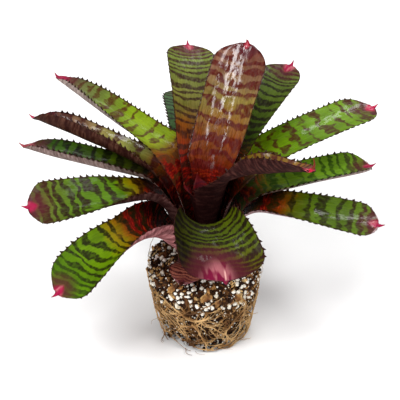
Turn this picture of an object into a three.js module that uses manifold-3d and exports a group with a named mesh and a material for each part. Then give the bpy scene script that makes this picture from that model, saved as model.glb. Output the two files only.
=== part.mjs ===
// A red tiger neoregelia lifted out of its nursery pot: banded strap leaves in a rosette on a short
// stem, the tapered plug of potting mix that the stem stands in, and the roots that wrap the plug.
// Millimetres. +Z is up and the origin is the middle of the plug's underside, on the surface it
// stands on. +X is to the right and -Y towards the viewer. Azimuths run from +X towards +Y.
import * as THREE from "three";
import { mergeVertices } from "three/addons/utils/BufferGeometryUtils.js";
import Module from "manifold-3d";

const wasm = await Module();
wasm.setup();

const DEG = Math.PI / 180;

// Driving dimensions of the root ball, which keeps the shape of the pot it grew in.
const PLUG_TOP_RADIUS = 50;
const PLUG_TOP_Z = 74;
const PLUG_FOOT_OUTLINE = 38; // radius of the pot's foot, which the lowest roots still follow
const PLUG_FOOT_RADIUS = 14; // flat middle of the underside, where the plug stands
const PLUG_LUMPS = 60; // perlite grains and bark chips that stand proud
const STEM_FOOT_RADIUS = 13;
const NET_TOP_Z = 48; // the roots hug the plug below this height
const NET_HUG = 2.2; // their distance out from the pot's outline
const NET_FALLING = 12;
const NET_CIRCLING = 6;
const NET_UNDER = 8; // strands in the open space under the plug's crumbled edge
const CLEARANCE = 0.35; // gap between pieces that touch

// Driving dimensions of the short stem, which narrows upwards as the leaves crowd in on it.
const STEM_FOOT_Z = 60;
const LEAF_ZERO_Z = 76; // height of the lowest leaf's base
const LEAF_STEP_Z = 1.6; // rise from one leaf's base to the next
const LEAF_ZERO_RADIUS = 15.5;
const LEAF_ZERO_RISE = 62; // climb of the lowest sheath, in degrees
const LEAF_STEP_RISE = 1.1;

// Driving dimensions that all leaves share.
const SHEATH_THICKNESS = 0.7;
const BLADE_THICKNESS = 0.9;
const SHEATH_WIDTH = 58;
const SHEATH_WRAP = 68; // furthest that a sheath reaches round the stem each way, in degrees
const BEND_LENGTH = 36; // length over which a leaf bends out of its sheath
const END_LENGTH = 20; // length over which the blade rounds off to its claw
const SPINE_HEIGHT = 1.9;
const SPINE_PITCH = 9.5;
const CLAW_LENGTH = 8;
const CLAW_LIFT = 45; // how far the end claw turns up, in degrees
const FIRST_BRONZE_LEAF = 14; // the leaves from this one inwards are bronze, not green

// Each leaf, from the lowest on the stem to the innermost. az is its heading in degrees, and veer
// how far that has turned by its end. length runs from the stem to the foot of the end claw and
// bend is where along it the leaf leaves its sheath. rise holds the climb in degrees just past the
// bend and at the end. fold is how far the edges turn up, in degrees, at the bend and at the end,
// and left or right is the same for that edge alone, as seen along the leaf's heading. twist rolls
// the blade about its own line, in degrees. sheath is the width and lean the climb of the sheath,
// wrap how far it reaches round the stem, and end the length of the rounded-off end. claw is how
// far the claw turns up, in degrees, and spur the claw's length.
const LEAVES = [
  {
    name: "leaf_old", az: 250, length: 40, bend: 20, rise: [2, -4],
    width: 36, sheath: 34, lean: 24, fold: [16, 10],
  },
  {
    name: "leaf_front_left", az: 212, length: 146, bend: 55, rise: [-4, -40],
    width: 46, sheath: 72, lean: 48, fold: [90, 2], twist: -14,
  },
  {
    name: "leaf_front", az: 272, length: 125, bend: 67, rise: [4, -76],
    width: 70, sheath: 42, fold: [70, 14], claw: 210, veer: 8,
  },
  {
    name: "leaf_right_low", az: 350, length: 156, bend: 51, rise: [1, -10],
    width: 44, sheath: 34, fold: [20, 10], twist: 6, right: [58, 16], end: 14,
  },
  {
    name: "leaf_left_low", az: 190, length: 165, bend: 61, rise: [3, -4],
    width: 46, sheath: 52, fold: [26, 12], twist: -18, left: [90, 14], right: [8, 14], end: 14,
  },
  {
    name: "leaf_right_mid", az: 15, length: 160, bend: 50, rise: [6, 2],
    width: 46, sheath: 42, fold: [30, 20], end: 16, right: [50, 56],
  },
  {
    name: "leaf_back_low", az: 97, length: 178, bend: 54, rise: [14, -6],
    width: 42, sheath: 26, fold: [30, 20],
  },
  {
    name: "leaf_left_mid", az: 160, length: 187, bend: 59, rise: [-1, 6],
    width: 44, sheath: 44, fold: [36, 44], end: 40, twist: 12, left: [60, 66],
  },
  {
    name: "leaf_left_folded", az: 155, length: 188, bend: 58, rise: [13, 8],
    width: 40, sheath: 40, fold: [70, 100], end: 40, twist: 22,
  },
  {
    name: "leaf_back_right_low", az: 73, length: 158, bend: 58, rise: [10, -4],
    width: 42, sheath: 34, fold: [32, 22],
  },
  {
    name: "leaf_right_upper", az: 30, length: 198, bend: 58, rise: [14, 2],
    width: 44, sheath: 54, fold: [30, 20],
  },
  {
    name: "leaf_left_back", az: 133, length: 228, bend: 66, rise: [1, 8],
    width: 40, fold: [36, 66], end: 84, twist: 8, left: [36, 100],
  },
  {
    name: "leaf_right_back", az: 53, length: 170, bend: 62, rise: [32, 18],
    width: 42, sheath: 36, fold: [36, 26],
  },
  {
    name: "leaf_back", az: 96, length: 189, bend: 68, rise: [26, 8],
    width: 44, sheath: 42, fold: [34, 24], twist: 8,
  },
  {
    name: "leaf_right_inner", az: 329, length: 138, bend: 62, rise: [24, 18],
    width: 50, sheath: 60, wrap: 88, fold: [100, 30], twist: -30, claw: 110, end: 14, spur: 13,
  },
  {
    name: "leaf_centre_back", az: 63, length: 159, bend: 58, rise: [57, 50],
    width: 50, fold: [40, 26], claw: 130,
  },
  {
    name: "leaf_heart_left", az: 196, length: 44, bend: 38, rise: [62, 50],
    width: 30, sheath: 26, fold: [50, 40],
  },
  {
    name: "leaf_heart_front", az: 306, length: 38, bend: 32, rise: [66, 56],
    width: 25, sheath: 23, fold: [50, 40],
  },
  {
    name: "leaf_heart_back", az: 120, length: 40, bend: 30, rise: [72, 64],
    width: 26, sheath: 24, fold: [60, 50],
  },
  {
    name: "leaf_heart_right", az: 15, length: 36, bend: 30, rise: [74, 66],
    width: 22, sheath: 20, fold: [60, 50],
  },
];

const clamp01 = (x) => Math.min(1, Math.max(0, x));
const smooth = (x) => clamp01(x) ** 2 * (3 - 2 * clamp01(x));
const lerp = (a, b, t) => a + (b - a) * t;

// How far out from the stem's centre the base of leaf number i stands.
const baseRadius = (i) => LEAF_ZERO_RADIUS - 0.42 * i - 0.0135 * i * i;

// The leaf's midline in its own upright plane: distance out, height and climb at each step along it.
function midline(leaf, order) {
  const step = 1;
  const points = [];
  let x = baseRadius(order);
  let z = LEAF_ZERO_Z + LEAF_STEP_Z * order;
  const spur = leaf.spur ?? CLAW_LENGTH;
  for (let s = 0; s <= leaf.length + spur + 4; s += step) {
    const bent = smooth((s - leaf.bend) / BEND_LENGTH + 0.5);
    const along = clamp01((s - leaf.bend) / (leaf.length - leaf.bend)) ** 1.4;
    const curled = (leaf.claw ?? CLAW_LIFT) * clamp01((s - leaf.length) / spur);
    const sheathRise = leaf.lean ?? LEAF_ZERO_RISE + LEAF_STEP_RISE * order;
    const blade = leaf.rise[0] + (leaf.rise[1] - leaf.rise[0]) * along;
    const climb = (lerp(sheathRise, blade, bent) + curled) * DEG;
    points.push({ x, z, climb });
    x += Math.cos(climb) * step;
    z += Math.sin(climb) * step;
  }
  return (s) => {
    const i = Math.min(points.length - 2, Math.floor(s / step));
    const f = s / step - i;
    const [a, b] = [points[i], points[i + 1]];
    return { x: lerp(a.x, b.x, f), z: lerp(a.z, b.z, f), climb: lerp(a.climb, b.climb, f) };
  };
}

// Half the leaf's width at s: a broad sheath, a strap of even width, a round end and a claw that
// flares out of it.
function halfWidth(leaf, s) {
  const broad = leaf.sheath ?? Math.min(SHEATH_WIDTH, leaf.width * 1.3);
  const sheath = (broad / 2) * lerp(0.84, 1, smooth(s / 30));
  const strap = lerp(sheath, leaf.width / 2, smooth((s - leaf.bend + 18) / 44));
  const left = clamp01((leaf.length - s) / (leaf.end ?? END_LENGTH));
  const blade = strap * Math.sqrt(1 - (1 - left) ** 2.2);
  const spur = leaf.spur ?? CLAW_LENGTH;
  const toPoint = clamp01((leaf.length + spur - s) / (spur + 2));
  return Math.max(blade, 0.9 * toPoint + 4.4 * toPoint ** 3);
}

// A point of the leaf's middle surface, v from -1 at its right edge to 1 at its left edge. The sheath
// lies round the stem, so that sheaths nest, and the blade lies square to its own midline.
function surfacePoint(leaf, line, s, v) {
  const m = line(s);
  const half = halfWidth(leaf, s);
  const outward = smooth((s - leaf.bend) / (leaf.length - leaf.bend));
  const [foldStart, foldEnd] = (v > 0 ? leaf.left : leaf.right) ?? leaf.fold;
  const fold = lerp(foldStart, foldEnd, outward) * DEG;
  const curl = fold / Math.max(half, leaf.width * 0.3);
  const across = Math.sin(curl * v * half) / curl;
  const up = (1 - Math.cos(curl * v * half)) / curl;
  const roll = (leaf.twist ?? 0) * DEG * smooth((s - leaf.bend + 10) / 70);
  const forward = new THREE.Vector3(Math.cos(m.climb), 0, Math.sin(m.climb));
  const side = new THREE.Vector3(0, 1, 0).applyAxisAngle(forward, roll);
  const normal = new THREE.Vector3().crossVectors(forward, side);
  const blade = new THREE.Vector3(m.x, 0, m.z);
  blade.addScaledVector(side, across).addScaledVector(normal, up);
  const angle = v * Math.min(half / m.x, (leaf.wrap ?? SHEATH_WRAP) * DEG);
  const sheath = new THREE.Vector3(m.x * Math.cos(angle), m.x * Math.sin(angle), m.z);
  const free = smooth((m.x - 24) / 26);
  const heading = (leaf.az + (leaf.veer ?? 0) * outward) * DEG;
  return sheath.lerp(blade, free).applyAxisAngle(new THREE.Vector3(0, 0, 1), heading);
}

// The points of the upper and lower face there, half the thickness along the surface's own normal.
function facePair(leaf, line, s, v) {
  const at = (ds, dv) => surfacePoint(leaf, line, Math.max(0, s + ds), v + dv);
  const along = at(0.3, 0).sub(at(-0.3, 0));
  const across = at(0, 0.02).sub(at(0, -0.02));
  const normal = along.cross(across).normalize();
  const clawThickening = s > leaf.length ? 1.5 : 1;
  const thick = lerp(SHEATH_THICKNESS, BLADE_THICKNESS, smooth(s / 70)) * clawThickening;
  return [0.5, -0.5].map((side) => at(0, 0).addScaledVector(normal, side * thick));
}

// Triangles between points, as three.js holds them.
function geometryFrom(points, faces) {
  const numbers = points.flatMap((p) => p.toArray());
  const geometry = new THREE.BufferGeometry();
  geometry.setAttribute("position", new THREE.Float32BufferAttribute(numbers, 3));
  geometry.setIndex(faces);
  return geometry;
}

// One closed leaf: rows of points across it, an upper and a lower face, and spines along both edges.
function leafGeometry(leaf, order) {
  const line = midline(leaf, order);
  const end = leaf.end ?? END_LENGTH;
  const sheathEnd = Math.min(leaf.bend + 14, leaf.length - end - 8);
  const endStart = leaf.length - end;
  const sheathRows = Math.ceil(sheathEnd / 9);
  const spineRows = Math.round((endStart - sheathEnd) / SPINE_PITCH);
  const stations = [];
  for (let i = 0; i < sheathRows; i++) stations.push((sheathEnd * i) / sheathRows);
  const firstSpine = stations.length;
  for (let i = 0; i < spineRows; i++) stations.push(lerp(sheathEnd, endStart, i / spineRows));
  const endShares = [0, 0.35, 0.62, 0.82, 0.94, 1];
  for (const share of endShares) stations.push(endStart + end * share);
  const lastSpine = firstSpine + spineRows + 2;
  const spur = leaf.spur ?? CLAW_LENGTH;
  stations.push(leaf.length + spur * 0.5);

  const vertices = [];
  const triangles = [];
  const put = (p) => vertices.push(p) - 1;
  const tri = (a, b, c, flip) => triangles.push(flip ? [a, c, b] : [a, b, c]);
  const lanes = leaf.wrap || leaf.width > 60 ? 6 : 4;
  const across = Array.from({ length: lanes + 1 }, (_, j) => (2 * j) / lanes - 1);
  const rows = stations.map((s) => across.map((v) => facePair(leaf, line, s, v).map(put)));
  const UP = 0;
  const LOW = 1;

  for (let i = 0; i + 1 < rows.length; i++) {
    const [a, b] = [rows[i], rows[i + 1]];
    for (let j = 1; j < lanes - 1; j++) {
      tri(a[j][UP], b[j][UP], b[j + 1][UP]);
      tri(a[j][UP], b[j + 1][UP], a[j + 1][UP]);
      tri(a[j][LOW], b[j + 1][LOW], b[j][LOW]);
      tri(a[j][LOW], a[j + 1][LOW], b[j + 1][LOW]);
    }
    const spined = i >= firstSpine && i < lastSpine;
    for (const [edge, inner, flip] of [[0, 1, false], [lanes, lanes - 1, true]]) {
      if (!spined) {
        for (const face of [UP, LOW]) {
          const turned = face === UP ? flip : !flip;
          tri(a[inner][face], a[edge][face], b[edge][face], turned);
          tri(a[inner][face], b[edge][face], b[inner][face], turned);
        }
        tri(a[edge][UP], a[edge][LOW], b[edge][LOW], flip);
        tri(a[edge][UP], b[edge][LOW], b[edge][UP], flip);
        continue;
      }
      const side = edge === 0 ? -1 : 1;
      const gap = stations[i + 1] - stations[i];
      const heel = stations[i] + 0.34 * gap;
      const point = stations[i] + 0.36 * gap;
      const [heelUp, heelLow] = facePair(leaf, line, heel, side).map(put);
      const reach = 1 + SPINE_HEIGHT / halfWidth(leaf, point);
      const tip = put(surfacePoint(leaf, line, point, side * reach));
      for (const [face, heelVertex] of [[UP, heelUp], [LOW, heelLow]]) {
        const turned = face === UP ? flip : !flip;
        tri(a[edge][face], tip, heelVertex, turned);
        tri(a[inner][face], a[edge][face], heelVertex, turned);
        tri(a[inner][face], heelVertex, b[inner][face], turned);
        tri(heelVertex, b[edge][face], b[inner][face], turned);
      }
      tri(a[edge][UP], a[edge][LOW], tip, flip);
      tri(tip, heelLow, heelUp, flip);
      tri(heelUp, heelLow, b[edge][LOW], flip);
      tri(heelUp, b[edge][LOW], b[edge][UP], flip);
    }
  }
  const base = rows[0];
  const last = rows[rows.length - 1];
  const clawTip = put(surfacePoint(leaf, line, leaf.length + spur, 0));
  for (let j = 0; j < lanes; j++) {
    tri(base[j][UP], base[j + 1][UP], base[j + 1][LOW]);
    tri(base[j][UP], base[j + 1][LOW], base[j][LOW]);
    tri(last[j][UP], clawTip, last[j + 1][UP]);
    tri(last[j][LOW], last[j + 1][LOW], clawTip);
  }
  tri(last[0][UP], last[0][LOW], clawTip);
  tri(last[lanes][UP], clawTip, last[lanes][LOW]);

  return geometryFrom(vertices, triangles.flat());
}

// A random number source that gives the same plant every time.
function seeded(seed) {
  let state = seed;
  return () => {
    state = (state * 1664525 + 1013904223) % 4294967296;
    return state / 4294967296;
  };
}

// A closed skin over rings of points that all hold the same count, with a point closing each end.
function loft(rings, first, last) {
  const count = rings[0].length;
  const points = [first, ...rings.flat(), last];
  const faces = [];
  for (let k = 0; k < count; k++) {
    const next = (k + 1) % count;
    faces.push(0, 1 + next, 1 + k);
    for (let i = 0; i + 1 < rings.length; i++) {
      const [a, b] = [1 + i * count, 1 + (i + 1) * count];
      faces.push(a + k, a + next, b + next, a + k, b + next, b + k);
    }
    const top = 1 + (rings.length - 1) * count;
    faces.push(top + k, top + next, points.length - 1);
  }
  return geometryFrom(points, faces);
}

function polar(radius, angle, z) {
  return new THREE.Vector3(radius * Math.cos(angle), radius * Math.sin(angle), z);
}

// A body of revolution from the radius and height of each of its rings, bottom first.
function turned(profile, sides, wobble = () => 1) {
  const turn = (2 * Math.PI) / sides;
  const rings = profile.map(([r, z]) =>
    Array.from({ length: sides }, (_, k) => polar(r * wobble(), turn * k, z)),
  );
  return loft(rings, polar(0, 0, profile[0][1]), polar(0, 0, profile[profile.length - 1][1]));
}

// A root: a four-sided tube along a line of points, thinner at both ends.
function root(points, radius) {
  const rings = points.map((p, i) => {
    const before = points[Math.max(0, i - 1)];
    const after = points[Math.min(points.length - 1, i + 1)];
    const ahead = after.clone().sub(before).normalize();
    const side = new THREE.Vector3(p.x, p.y, 60).cross(ahead).normalize();
    const up = ahead.clone().cross(side);
    const r = before === p || after === p ? 0.6 * radius : radius;
    return [side, up, side.clone().negate(), up.clone().negate()].map((way) =>
      p.clone().addScaledVector(way, r),
    );
  });
  return loft(rings, points[0], points[points.length - 1]);
}

function solidOf(geometry) {
  const merged = mergeVertices(geometry, 1e-4);
  return new wasm.Manifold(
    new wasm.Mesh({
      numProp: 3,
      vertProperties: new Float32Array(merged.attributes.position.array),
      triVerts: new Uint32Array(merged.index.array),
    }),
  );
}

// The geometry of a solid's largest body, without the loose scraps that joining can leave.
function geometryOf(solid) {
  const [body] = solid.decompose().sort((a, b) => b.volume() - a.volume());
  const mesh = body.getMesh();
  const geometry = new THREE.BufferGeometry();
  geometry.setAttribute("position", new THREE.BufferAttribute(mesh.vertProperties, 3));
  geometry.setIndex(new THREE.BufferAttribute(mesh.triVerts, 1));
  return geometry;
}

// The outline that the pot gave the plug: its radius at a height.
const potRadius = (z) => lerp(PLUG_FOOT_OUTLINE, PLUG_TOP_RADIUS, z / PLUG_TOP_Z);

// The stem: each leaf base clears it, and its foot stands in a plain hole in the mix.
function stemGeometry() {
  const profile = [
    [STEM_FOOT_RADIUS, STEM_FOOT_Z],
    [STEM_FOOT_RADIUS, LEAF_ZERO_Z],
  ];
  for (let i = 2; i < LEAVES.length; i += 3) {
    profile.push([baseRadius(i) * 0.95 - 0.75, LEAF_ZERO_Z + LEAF_STEP_Z * i]);
  }
  profile.push([0.8, LEAF_ZERO_Z + LEAF_STEP_Z * (LEAVES.length + 0.5)]);
  return turned(profile, 16);
}

// The plug of mix, with white perlite and chips of bark standing proud of it. Its lower edge has
// crumbled away, so the roots there hang clear of it.
function plugGeometry() {
  const random = seeded(11);
  const foot = [[PLUG_FOOT_RADIUS, 0], [24, 4], [33, 10], [potRadius(20) - 1.5, 20]];
  const wall = [34, 48, 60, PLUG_TOP_Z - 6].map((z) => [potRadius(z), z]);
  const rim = PLUG_TOP_RADIUS - 5;
  const top = [[rim, PLUG_TOP_Z - 2.5], [30, PLUG_TOP_Z - 1.6], [18, PLUG_TOP_Z - 1.4]];
  const profile = [...foot, ...wall, ...top];
  let plug = solidOf(turned(profile, 30, () => 0.975 + 0.03 * random()));
  const lumps = [];
  for (let i = 0; i < PLUG_LUMPS; i++) {
    const angle = 2 * Math.PI * ((i * 0.618) % 1) + 0.3 * random();
    const onTop = i % 3 === 0;
    const z = onTop ? PLUG_TOP_Z - 2.4 : lerp(NET_TOP_Z + 6, 70, random());
    const out = onTop ? 22 + 22 * random() : potRadius(z) - 1;
    const lump = new THREE.IcosahedronGeometry(1.6 + 1.5 * random(), 0);
    lump.deleteAttribute("normal");
    lump.deleteAttribute("uv");
    lump.scale(1, 0.7 + 0.5 * random(), 0.6 + 0.4 * random());
    lump.rotateX(6 * random()).rotateZ(6 * random());
    lump.translate(...polar(out, angle, z).toArray());
    lumps.push(solidOf(lump));
  }
  plug = wasm.Manifold.union([plug, ...lumps]);
  const holeRadius = STEM_FOOT_RADIUS + CLEARANCE;
  const hole = turned([[holeRadius, STEM_FOOT_Z - CLEARANCE], [holeRadius, PLUG_TOP_Z + 10]], 16);
  return geometryOf(plug.subtract(solidOf(hole)).trimByPlane([0, 0, 1], 0));
}

// The roots that circled in the pot, as one net that hugs the plug and ends in a ring at the foot.
function netGeometry() {
  const random = seeded(5);
  const on = (angle, z, out = NET_HUG) => polar(potRadius(z) + out, angle, z);
  const roots = [];
  for (let i = 0; i < NET_FALLING; i++) {
    const start = 2 * Math.PI * ((i + 0.5 * random()) / NET_FALLING);
    const lean = 0.9 * (random() - 0.5);
    const wave = 0.1 + 0.08 * random();
    const high = lerp(22, NET_TOP_Z, random());
    const points = [];
    for (let k = 0; k <= 6; k++) {
      const angle = start + lean * (k / 6) + wave * Math.sin(1.9 * k + i);
      points.push(on(angle, lerp(high, 1.6, k / 6)));
    }
    points.push(polar(potRadius(0) - 1, start + lean, 1.4));
    roots.push(root(points, 0.8 + 0.5 * random()));
  }
  for (let i = 0; i < NET_CIRCLING; i++) {
    const start = 2 * Math.PI * ((i * 0.618) % 1);
    const reach = 1.3 + 1.1 * random();
    const [from, to] = [lerp(8, NET_TOP_Z, random()), lerp(4, 34, random())];
    const points = [];
    for (let k = 0; k <= 10; k++) {
      const t = k / 10;
      points.push(on(start + reach * t, lerp(from, to, t) + 3 * Math.sin(5 * t + i)));
    }
    roots.push(root(points, 0.9 + 0.5 * random()));
  }
  for (let i = 0; i < NET_UNDER; i++) {
    const start = 2 * Math.PI * ((i + 0.6 * random()) / NET_UNDER);
    const outer = i % 4 === 0 ? potRadius(0) + 7 : potRadius(0);
    const points = [];
    for (let k = 0; k <= 3; k++) {
      points.push(polar(lerp(outer, 17, k / 3), start + 0.3 * Math.sin(0.7 * k), 0.8));
    }
    roots.push(root(points, 0.9));
  }
  const ring = [];
  for (let k = 0; k <= 30; k++) {
    const waver = 0.8 * Math.sin(0.9 * k) * Math.sin((Math.PI * k) / 30);
    ring.push(on((2 * Math.PI * k) / 30, 1.2, waver));
  }
  roots.push(root(ring, 1.6));
  return geometryOf(wasm.Manifold.union(roots.map(solidOf)).trimByPlane([0, 0, 1], 0));
}

const plant = new THREE.Group();

function add(name, geometry, colour, roughness) {
  const material = new THREE.MeshStandardMaterial({ color: colour, roughness, metalness: 0 });
  const mesh = new THREE.Mesh(geometry, material);
  mesh.name = name;
  plant.add(mesh);
}

add("soil_plug", plugGeometry(), 0x3f2c1d, 0.95);
add("root_net", netGeometry(), 0xa98658, 0.8);
add("stem", stemGeometry(), 0x8a7a52, 0.7);
LEAVES.forEach((leaf, order) => {
  const colour = order < FIRST_BRONZE_LEAF ? 0x5a8c22 : 0x6e4226;
  add(leaf.name, leafGeometry(leaf, order), colour, 0.35);
});

export default plant;
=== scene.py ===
"""A red tiger neoregelia lifted out of its pot: the plug of potting mix, the roots round it, the stem
and the banded, spine-edged leaves of its rosette, in the order in which they are put together."""

import math
import random

import bmesh
import bpy
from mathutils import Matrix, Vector, noise


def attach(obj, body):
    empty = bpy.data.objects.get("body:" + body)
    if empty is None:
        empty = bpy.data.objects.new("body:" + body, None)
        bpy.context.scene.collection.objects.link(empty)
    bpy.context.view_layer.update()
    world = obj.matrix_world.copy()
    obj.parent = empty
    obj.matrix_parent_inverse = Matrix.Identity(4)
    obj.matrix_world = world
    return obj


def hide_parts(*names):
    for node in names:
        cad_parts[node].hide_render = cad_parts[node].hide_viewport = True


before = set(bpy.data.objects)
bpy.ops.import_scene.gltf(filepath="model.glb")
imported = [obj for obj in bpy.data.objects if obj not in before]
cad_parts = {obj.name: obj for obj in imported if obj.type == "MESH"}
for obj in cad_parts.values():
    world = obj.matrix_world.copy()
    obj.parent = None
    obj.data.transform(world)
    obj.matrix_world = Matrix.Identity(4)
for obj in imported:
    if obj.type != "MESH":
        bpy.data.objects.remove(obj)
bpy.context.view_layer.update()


# The plug of potting mix. It is damp dark peat that keeps the taper of its nursery pot, packed round
# the stem and crumbled away under its lower edge.

MM = 0.001
PLUG_HEIGHT = 74
PLUG_FOOT = 38
PLUG_TOP = 50
PLUG_SIDES = 190


def tint(code):
    """The linear colour of a paint code such as "6ea523"."""
    parts = [int(code[i : i + 2], 16) / 255 for i in (0, 2, 4)]
    return [p / 12.92 if p < 0.04045 else ((p + 0.055) / 1.055) ** 2.4 for p in parts] + [1]


def put(tree, kind, inputs=None, **settings):
    """Adds a node to a tree and fills its inputs with values, or with the outputs they follow."""
    node = tree.nodes.new("ShaderNode" + kind)
    for key, value in settings.items():
        setattr(node, key, value)
    for key, value in (inputs or {}).items():
        if isinstance(value, bpy.types.NodeSocket):
            tree.links.new(value, node.inputs[key])
        else:
            node.inputs[key].default_value = value
    return node


def sum_of(tree, operation, *values):
    """One step of arithmetic on numbers or outputs."""
    return put(tree, "Math", dict(enumerate(values)), operation=operation).outputs[0]


def fade(tree, value, low, high, start=0.0, end=1.0):
    """Runs softly from start to end as the value goes from low to high."""
    inputs = {"Value": value, "From Min": low, "From Max": high, "To Min": start, "To Max": end}
    return put(tree, "MapRange", inputs, interpolation_type="SMOOTHSTEP").outputs[0]


def mixed(tree, share, under, over, blend="MIX"):
    """One colour over another, by share."""
    node = put(tree, "Mix", {0: share, 6: under, 7: over}, data_type="RGBA", blend_type=blend)
    return node.outputs[2]


def grain(tree, place, scale, detail=2.0, roughness=0.5):
    """Soft cloudy noise from 0 to 1 at a place."""
    inputs = {"Vector": place, "Scale": scale, "Detail": detail, "Roughness": roughness}
    return put(tree, "TexNoise", inputs).outputs["Fac"]


def ramp(tree, value, stops):
    """A colour that runs through stops, each a place from 0 to 1 and a paint code."""
    node = put(tree, "ValToRGB", {"Fac": value})
    bar = node.color_ramp.elements
    while len(bar) < len(stops):
        bar.new(0.5)
    for mark, (place, code) in zip(bar, stops):
        mark.position = place
        mark.color = tint(code)
    return node.outputs["Color"]


def finish(name):
    """A new material with its tree and the shader of its surface."""
    material = bpy.data.materials.new(name)
    material.use_nodes = True
    tree = material.node_tree
    tree.nodes.clear()
    shader = put(tree, "BsdfPrincipled")
    put(tree, "OutputMaterial", {"Surface": shader.outputs["BSDF"]})
    return material, tree, shader


def place_on(tree):
    """The place on the piece itself, in metres."""
    return put(tree, "TexCoord").outputs["Object"]


def raise_by(tree, shader, height, distance):
    """Turns a height into relief on the shader."""
    bump = put(tree, "Bump", {"Height": height, "Distance": distance, "Strength": 1.0})
    tree.links.new(bump.outputs["Normal"], shader.inputs["Normal"])


def set_piece(name, mesh, material, slot, *nodes):
    """Puts a finished mesh in the plant, in place of the solids it stands for."""
    mesh.materials.append(material)
    piece = bpy.data.objects.new(name, mesh)
    bpy.context.scene.collection.objects.link(piece)
    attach(piece, "root")
    if nodes:
        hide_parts(*nodes)


def mesh_of(name, bm, smooth=True):
    """Turns what was modelled into a mesh, smooth or faceted."""
    mesh = bpy.data.meshes.new(name)
    for face in bm.faces:
        face.smooth = smooth
    bm.to_mesh(mesh)
    bm.free()
    return mesh


def pot_radius(z):
    """The inside of the pot that the plant grew in, at a height."""
    return PLUG_FOOT + (PLUG_TOP - PLUG_FOOT) * z / PLUG_HEIGHT


peat, tree, shader = finish("damp_peat")
place = place_on(tree)
crumb = grain(tree, place, 420, 4, 0.65)
clump = grain(tree, place, 90, 3)
fibre = put(tree, "TexVoronoi", {"Vector": place, "Scale": 620}).outputs["Distance"]
brown = ramp(tree, crumb, [(0.32, "0e0703"), (0.48, "38200e"), (0.60, "6c4622"), (0.75, "b58c54")])
tree.links.new(mixed(tree, fade(tree, clump, 0.35, 0.6), brown, tint("9c8468"), "MULTIPLY"),
               shader.inputs["Base Color"])
tree.links.new(fade(tree, crumb, 0.2, 0.8, 0.75, 1.0), shader.inputs["Roughness"])
shader.inputs["Specular IOR Level"].default_value = 0.15
raise_by(tree, shader, sum_of(tree, "ADD", crumb, fibre), 0.0012)

plug = bmesh.new()
outline = [(0, 0), (14, 0), (24, 4), (33, 10), (pot_radius(20) - 1.5, 20), (pot_radius(34) - 0.6, 34),
           (pot_radius(52) - 0.4, 52), (pot_radius(66) - 0.8, 66), (46.5, 71), (30, 72.2), (0, 72.6)]
points = []
for (r, z), (next_r, next_z) in zip(outline, outline[1:]):
    steps = math.ceil(math.hypot(next_r - r, next_z - z) / 1.5)
    points += [(r + (next_r - r) * k / steps, z + (next_z - z) * k / steps) for k in range(steps)]
points.append(outline[-1])
line = [plug.verts.new((r * MM, 0, z * MM)) for r, z in points]
edges = [plug.edges.new(pair) for pair in zip(line, line[1:])]
bmesh.ops.spin(plug, geom=line + edges, cent=(0, 0, 0), axis=(0, 0, 1), steps=PLUG_SIDES,
               angle=2 * math.pi, use_merge=True)
bmesh.ops.remove_doubles(plug, verts=plug.verts, dist=1e-6)
bmesh.ops.recalc_face_normals(plug, faces=plug.faces)
plug.normal_update()
moves = []
for vert in plug.verts:
    coarse = noise.noise(vert.co * 110)
    fine = noise.noise(vert.co * 420)
    crumbled = 1 + 1.2 * max(0, 1 - vert.co.z / 0.03)
    lift = min(0.9, (1.6 * coarse + 0.8 * fine) * crumbled - 0.3) if vert.co.z > 0.0005 else 0.0
    moves.append(vert.normal * lift * MM)
for vert, move in zip(plug.verts, moves):
    vert.co += move
    vert.co.z = max(vert.co.z, 0)
set_piece("potting_mix", mesh_of("potting_mix", plug), peat, "soil", "soil_plug")


# Perlite: puffed white volcanic grains of 1 to 4 mm, thick in the upper part of the mix and showing
# between the roots lower down. Some are stained by the peat.

perlite, tree, shader = finish("perlite")
place = place_on(tree)
stain = grain(tree, place, 160, 3)
pits = put(tree, "TexVoronoi", {"Vector": place, "Scale": 1500}).outputs["Distance"]
white = ramp(tree, stain, [(0.30, "fbf8f0"), (0.56, "f0e9da"), (0.68, "d3c4a6"), (0.82, "9c8460")])
tree.links.new(white, shader.inputs["Base Color"])
shader.inputs["Roughness"].default_value = 0.9
raise_by(tree, shader, pits, 0.0004)

# Grains on top lie at the height MIX_TOP, in the ring between the stem and the rim.
UP = Vector((0, 0, 1))
MIX_TOP = 71.6
STEM_ROOM = 16
RIM = 47


def plug_wall(z):
    """The mix's own radius at a height, crumbled foot and all."""
    for (r0, z0), (r1, z1) in zip(outline, outline[1:]):
        if z <= z1 and z1 > z0:
            return r0 + (r1 - r0) * (z - z0) / (z1 - z0)
    return 30


def on_plug(luck, count, lowest, highest, top_share):
    """Spots on the plug's wall and on its top, each with the direction out of the mix there."""
    for _ in range(count):
        angle = luck.uniform(0, 2 * math.pi)
        way = Vector((math.cos(angle), math.sin(angle), 0))
        if luck.random() < top_share:
            yield way * math.sqrt(luck.uniform(STEM_ROOM**2, RIM**2)) + UP * MIX_TOP, UP
        else:
            z = luck.uniform(lowest, highest)
            yield way * (plug_wall(z) - 0.3) + UP * z, way


def under_plug(luck, count):
    """Spots where crumbs that fell out of the foot lie in the cage of roots."""
    for _ in range(count):
        angle = luck.uniform(0, 2 * math.pi)
        way = Vector((math.cos(angle), math.sin(angle), 0))
        z = luck.uniform(1.4, 9)
        out = luck.uniform(plug_wall(z) - 1, pot_radius(z) - 1.5)
        yield way * out + UP * z, way


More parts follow.
